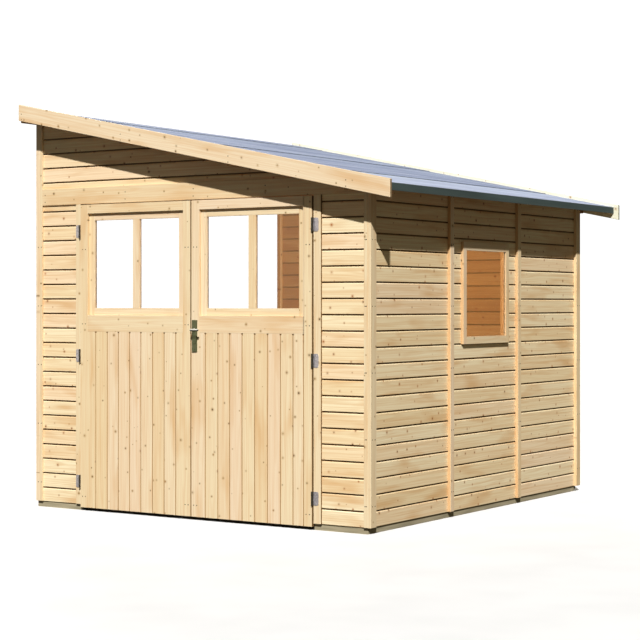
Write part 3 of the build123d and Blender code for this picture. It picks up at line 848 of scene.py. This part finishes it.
def steel_plate(piece, low, high, corner, ease):
    """A flat plate that faces the front, with rounded corners and eased front edges."""
    first = set(piece.verts)
    ring = [piece.verts.new((x, high[1], z)) for x, z in
            ((low[0], low[2]), (high[0], low[2]), (high[0], high[2]), (low[0], high[2]))]
    grown = bmesh.ops.extrude_face_region(piece, geom=[piece.faces.new(ring)])["geom"]
    front = [v for v in grown if isinstance(v, bmesh.types.BMVert)]
    bmesh.ops.translate(piece, verts=front, vec=(0, low[1] - high[1], 0))
    edges = {e for v in ring + front for e in v.link_edges}
    uprights = [e for e in edges if abs(e.verts[0].co.y - e.verts[1].co.y) > 1e-6]
    bmesh.ops.bevel(piece, geom=uprights, offset=corner, affect="EDGES", segments=5, profile=0.5, material=-1)
    made = [v for v in piece.verts if v not in first]
    rims = {e for v in made for e in v.link_edges if all(abs(w.co.y - low[1]) < 1e-6 for w in e.verts)}
    bmesh.ops.bevel(piece, geom=list(rims), offset=ease, affect="EDGES", segments=2, profile=0.5, material=-1)
    made = [v for v in piece.verts if v not in first]
    bmesh.ops.recalc_face_normals(piece, faces=list({f for v in made for f in v.link_faces}))


def round_bar(piece, start, end, radius, ease=0.0, segments=16):
    """A round steel bar between two points, with eased ends."""
    way = Vector(end) - Vector(start)
    turn = way.to_track_quat("Z", "Y").to_matrix().to_4x4()
    place = Matrix.Translation((Vector(start) + Vector(end)) / 2) @ turn
    made = bmesh.ops.create_cone(piece, cap_ends=True, segments=segments, radius1=radius, radius2=radius,
                                 depth=way.length, matrix=place)["verts"]
    if ease:
        rims = {e for v in made for e in v.link_edges if abs((e.verts[0].co - e.verts[1].co).dot(way)) < 1e-9}
        bmesh.ops.bevel(piece, geom=list(rims), offset=ease, affect="EDGES", segments=2, profile=0.5,
                        material=-1)


def screw_head(piece, x, y, z, radius):
    """A countersunk screw head that faces the front, with a dimple for the driver."""
    place = Matrix.Translation((x, y - 0.0002, z)) @ Matrix.Rotation(math.radians(90), 4, "X")
    made = bmesh.ops.create_cone(piece, cap_ends=True, segments=12, radius1=radius, radius2=radius * 0.86,
                                 depth=0.0010, matrix=place)["verts"]
    cap = min({f for v in made for f in v.link_faces}, key=lambda f: f.calc_center_median().y)
    bmesh.ops.inset_individual(piece, faces=[cap], thickness=radius * 0.4, depth=-0.0006)


hinge_half = 0.038
plate_width = 0.034
plate_thick = 0.0025
knuckle = 0.005
pin = 0.003
knuckle_gap = 0.0005
hinge_out = 0.024
hinge_centres = (0.173, 0.920, 1.658)
y_axis = y_front - hinge_out
y_jamb = y_front - proud
y_leaf_back = leaf_face + thick
plates = new_piece()
for side, body, direction in (("left", "left_door", 1), ("right", "right_door", -1)):
    low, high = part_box(side + "_door_hinge_leaves")
    axis_x = (low.x if direction > 0 else high.x) + direction * knuckle
    wings = new_piece()
    for centre in hinge_centres:
        z0, z1 = centre - hinge_half, centre + hinge_half
        third = (z1 - z0) / 3
        near, far = axis_x - direction * knuckle / 2, axis_x - direction * (plate_width + knuckle / 2)
        steel_plate(plates, (min(near, far), y_jamb - plate_thick, z0), (max(near, far), y_jamb, z1), 0.011,
                    0.0006)
        for share in (-0.66, 0.0, 0.66):
            screw_head(plates, near + (far - near) * 0.5, y_jamb - plate_thick, centre + hinge_half * share,
                       0.0036)
        before_knuckles = set(plates.faces)
        for a, c in ((z0, z0 + third - knuckle_gap), (z1 - third + knuckle_gap, z1)):
            round_bar(plates, (axis_x, y_axis, a), (axis_x, y_axis, c), knuckle, 0.0006)
            web = sorted((axis_x - direction * knuckle, near))
            steel_plate(plates, (web[0], y_axis, a), (web[1], y_jamb, c), 0.0004, 0.0003)
        round_bar(plates, (axis_x, y_axis, z0), (axis_x, y_axis, z1), pin)
        # The knuckles, webs and pin take slot 1, the steel painted black as their shade
        mark(set(plates.faces) - before_knuckles, 1)
        middle = (z0 + third + knuckle_gap, z1 - third - knuckle_gap)
        round_bar(wings, (axis_x, y_axis, middle[0]), (axis_x, y_axis, middle[1]), knuckle, 0.0006)
        wing = sorted((axis_x, axis_x + direction * knuckle / 2))
        steel_plate(wings, (wing[0], y_axis, middle[0]), (wing[1], y_leaf_back, middle[1]), 0.0004, 0.0003)
    finished(wings, side + "_door_hinge_knuckles", body, "zinc_plated_steel", side + "_door_hinge_leaves",
             steel_shade)
finished(plates, "hinge_plates_on_the_jambs", "shed", "zinc_plated_steel", "jamb_hinge_plates", zinc, steel_shade)


# Lock and lever
# A long steel backplate with two screws and a profile cylinder, finished in dark nickel, and a lever bent
# from round bar that turns on it, pale nickel on top and painted black below as shade.
nickel, shader = surface("dark_nickel_steel", 0.42)
shader.inputs["Metallic"].default_value = 0.8
place = put(nickel, "ShaderNodeTexCoord", {}, {}).outputs["Object"]
lines = stretched(nickel, place, (900.0, 900.0, 20.0), 2.0).outputs["Fac"]
tone = put(nickel, "ShaderNodeValToRGB",
           {"stops": [(0.3, "#5E6247"), (0.7, "#757A5C")]}, {"Fac": lines}).outputs["Color"]
nickel.node_tree.links.new(tone, shader.inputs["Base Color"])
# Bright nickel on the lever, which catches the sun along its top
bright = flecked("bright_nickel_plate", 0.28, 150.0, [(0.3, "#DAD8CC"), (0.7, "#EFEDE4")], metallic=0.35)
# A thin black plate in the cylinder stands for the keyhole, painted shade of the hole
keyhole_shade = flecked("keyhole_painted_shade", 0.7, 900.0, [(0.3, "#141210"), (0.7, "#221E18")])

low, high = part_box("lock_plate")
lever_low, lever_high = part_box("lever_handle")
spindle_x = (low.x + high.x) / 2
spindle_z = (lever_low.z + lever_high.z) / 2
y_plate = leaf_face - 0.008
cylinder_z = spindle_z - 0.072
cylinder_radius = 0.0085
piece = new_piece()
steel_plate(piece, (low.x, y_plate, low.z), (high.x - 0.004, leaf_face, high.z), 0.002, 0.0015)
for z in (low.z + 0.014, high.z - 0.014):
    screw_head(piece, spindle_x, y_plate, z, 0.004)
round_bar(piece, (spindle_x, y_plate + 0.001, cylinder_z), (spindle_x, low.y, cylinder_z), cylinder_radius,
          0.0008, 20)
# The keyhole plate takes slot 1, painted shade
plain = len(piece.faces)
steel_plate(piece, (spindle_x - 0.0008, low.y + 0.0002, cylinder_z - 0.004),
            (spindle_x + 0.0008, low.y + 0.001, cylinder_z + 0.004), 0.0004, 0.0001)
piece.faces.ensure_lookup_table()
mark(piece.faces[plain:], 1)
finished(piece, "backplate_of_the_lock", "right_door", "dark_nickel_steel", "lock_plate", nickel, keyhole_shade)

bar_radius = 0.007
bend = 0.012
y_bar = lever_low.y + bar_radius
piece = new_piece()
turn = Matrix.Translation((spindle_x, lever_high.y, spindle_z)) @ Matrix.Rotation(math.radians(90), 4, "X")
ring = bmesh.ops.create_circle(piece, cap_ends=False, radius=bar_radius, segments=20, matrix=turn)["verts"]
rim = list({e for v in ring for e in v.link_edges})
bmesh.ops.contextual_create(piece, geom=rim)


def drawn_out(piece, rim, vec):
    """Draws an open ring of edges out along a straight run."""
    grown = bmesh.ops.extrude_edge_only(piece, edges=rim)["geom"]
    bmesh.ops.translate(piece, verts=[v for v in grown if isinstance(v, bmesh.types.BMVert)], vec=vec)
    return [e for e in grown if isinstance(e, bmesh.types.BMEdge)]


rim = drawn_out(piece, rim, (0, y_bar + bend - lever_high.y, 0))
curved = bmesh.ops.spin(piece, geom=rim, cent=(spindle_x + bend, y_bar + bend, spindle_z), axis=(0, 0, 1),
                        angle=math.radians(90), steps=6, use_merge=False, use_duplicate=False)["geom_last"]
rim = [e for e in curved if isinstance(e, bmesh.types.BMEdge)]
rim = drawn_out(piece, rim, (lever_high.x - spindle_x - bend, 0, 0))
bmesh.ops.bevel(piece, geom=bmesh.ops.contextual_create(piece, geom=rim)["faces"][0].edges[:], offset=0.003,
                affect="EDGES", segments=3, profile=0.5, material=-1)
round_bar(piece, (spindle_x, lever_high.y, spindle_z), (spindle_x, lever_high.y - 0.006, spindle_z), 0.009,
          0.001, 20)
bmesh.ops.recalc_face_normals(piece, faces=piece.faces[:])
# Its underside is painted black, a painted shade
mark((f for f in piece.faces if f.normal.z < 0.05), 1)
finished(piece, "bent_lever_of_the_lock", "lever", "dark_nickel_steel", "lever_handle", bright, steel_shade)


# Nails
# Wire nails with 7 mm heads, two at a time, that hold the uprights, the verge boards and the outer boards
# of the doors. The heads are punched level with the wood and have gone dark.
rust = flecked("dull_wire_nail_heads", 0.6, 500.0, [(0.3, "#33261A"), (0.7, "#54442F")], metallic=0.6)


def nail(piece, spot, out):
    """One round nail head, a quarter of a millimetre proud of the wood."""
    turn = Vector(out).to_track_quat("Z", "Y").to_matrix().to_4x4()
    bmesh.ops.create_cone(piece, cap_ends=True, segments=8, radius1=0.0038, radius2=0.0032, depth=0.001,
                          matrix=Matrix.Translation(Vector(spot) - Vector(out) * 0.00025) @ turn)


piece = new_piece()
heights = [0.15 + 0.355 * i for i in range(5)]
for y, half, x in ((y_front - proud + corner_width / 2, 0.014, x_right + corner_out),
                   (side_low.y, 0.010, x_right + batten_out),
                   (side_high.y, 0.010, x_right + batten_out),
                   (y_back + proud - corner_width / 2, 0.014, x_right + corner_out)):
    for z in heights + [1.84]:
        for y_nail in (y - half, y + half):
            nail(piece, (x, y_nail, z), (1, 0, 0))
post_nails = x_left + 0.030
strip_nails = x_right - right_strip / 2
for x, half, y, out in ((post_nails, 0.012, y_front - proud, -1), (strip_nails, 0.004, y_front - proud, -1),
                        (post_nails, 0.012, y_back + proud, 1), (strip_nails, 0.004, y_back + proud, 1),
                        (back_low.x, 0.010, y_back + batten_out, 1),
                        (back_high.x, 0.010, y_back + batten_out, 1)):
    for z in heights:
        for x_nail in (x - half, x + half):
            nail(piece, (x_nail, y, z), (0, out, 0))
low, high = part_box("door_lintel")
for x in (x_wall_start + 0.045, -0.60, -0.10, 0.40, x_right - 0.05):
    for z in (low.z + 0.020, low.z + 0.062):
        nail(piece, (x, low.y, z), (0, -1, 0))
for node, end, out in (("front_bargeboard", 0, -1), ("rear_bargeboard", 1, 1)):
    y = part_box(node)[end].y - out * verge_inset
    purlins_low, purlins_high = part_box("roof_purlins")
    for i in range(4):
        x = purlins_low.x + (purlins_high.x - purlin_width - purlins_low.x) * i / 3 + purlin_width / 2
        for drop in (0.012, 0.045):
            nail(piece, (x, y, wall_top + (x_right - x) * slope - drop), (0, out, 0))
finished(piece, "nail_heads_of_the_shed", "shed", "zinc_plated_steel", None, rust)

for side, body in (("left", "left_door"), ("right", "right_door")):
    low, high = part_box(side + "_door_boards")
    sash_low, sash_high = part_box(side + "_door_sash")
    piece = new_piece()
    for x in ((low.x + sash_low.x) / 2, (high.x + sash_high.x) / 2):
        for z in (0.085, rail_bottom + 0.045, leaf_top - 0.265):
            for x_nail in (x - 0.011, x + 0.011):
                nail(piece, (x_nail, leaf_face, z), (0, -1, 0))
    finished(piece, side + "_door_nail_heads", body, "zinc_plated_steel", None, rust)


# Studio
# A plain pale floor, a key light from the front right and above, soft fills, and the camera.
floor_mesh = bmesh.new()
bmesh.ops.create_grid(floor_mesh, x_segments=1, y_segments=1, size=40.0)
matt = flecked("pale_matt_floor", 0.95, 2.0, [(0.3, "#F4F4F4"), (0.7, "#FAFAFA")])
floor = shown(floor_mesh, "studio_floor", matt)
floor.visible_diffuse = False
floor.visible_glossy = False


def sun(name, travel, strength, spread, shadows):
    """A distant light that shines along travel."""
    lamp = bpy.data.lights.new(name, "SUN")
    lamp.energy = strength
    lamp.angle = math.radians(spread)
    lamp.use_shadow = shadows
    made = bpy.data.objects.new(name, lamp)
    made.rotation_euler = Vector(travel).to_track_quat("-Z", "Y").to_euler()
    bpy.context.scene.collection.objects.link(made)


sun("key_light", (-0.411, 0.652, -0.6209), 4.85, 1.2, True)
sun("back_fill", (0.6, -0.7, -0.4), 1.0, 20.0, True)


def card(name, place, facing, size, energy, shade):
    """A soft square light that is not seen itself."""
    lamp = bpy.data.lights.new(name, "AREA")
    lamp.shape = "SQUARE"
    lamp.size = size
    lamp.energy = energy
    lamp.color = linear(shade)[:3]
    made = bpy.data.objects.new(name, lamp)
    made.location = place
    made.rotation_euler = Vector(facing).to_track_quat("-Z", "Y").to_euler()
    made.visible_camera = False
    made.visible_transmission = False
    bpy.context.scene.collection.objects.link(made)
    return made


card("inside_fill", (0.0, -1.15, 1.35), (0, 1, 0), 0.8, 64.0, "#FFE9C6").visible_glossy = False
# A card that only the metal fittings mirror, as they mirror a bright sky in the open
card("metal_card", (-2.5, -4.7, 1.3), (2.4, 3.4, -0.2), 2.6, 22.0, "#FFF8EC").visible_diffuse = False

world = bpy.data.worlds.new("studio")
world.use_nodes = True
bpy.context.scene.world = world
shade_light = world.node_tree.nodes["Background"]
shade_light.inputs["Color"].default_value = linear("#FFF5D6")
shade_light.inputs["Strength"].default_value = 0.106
backdrop = put(world, "ShaderNodeBackground", {}, {"Color": linear("#FFFFFF"), "Strength": 1.12}).outputs[0]
paths = put(world, "ShaderNodeLightPath", {}, {}).outputs
bounces = reckoned(world, "ADD", paths["Diffuse Depth"], paths["Glossy Depth"])
straight = reckoned(world, "LESS_THAN", bounces, 0.5)
through = reckoned(world, "MULTIPLY", paths["Is Transmission Ray"], straight)
seen = reckoned(world, "MAXIMUM", paths["Is Camera Ray"], through)
either = put(world, "ShaderNodeMixShader", {}, {0: seen, 1: shade_light.outputs[0], 2: backdrop}).outputs[0]
world.node_tree.links.new(either, world.node_tree.nodes["World Output"].inputs["Surface"])
bpy.context.scene.view_settings.view_transform = "Standard"

lens = bpy.data.cameras.new("photo_view")
lens.lens = 97.19
lens.sensor_width = 36.0
lens.shift_y = -0.0263
camera = bpy.data.objects.new("photo_view", lens)
camera.location = (5.9012, -9.1111, 1.2317)
camera.rotation_euler = (math.radians(90), 0, math.radians(33.366))
bpy.context.scene.collection.objects.link(camera)
bpy.context.scene.camera = camera
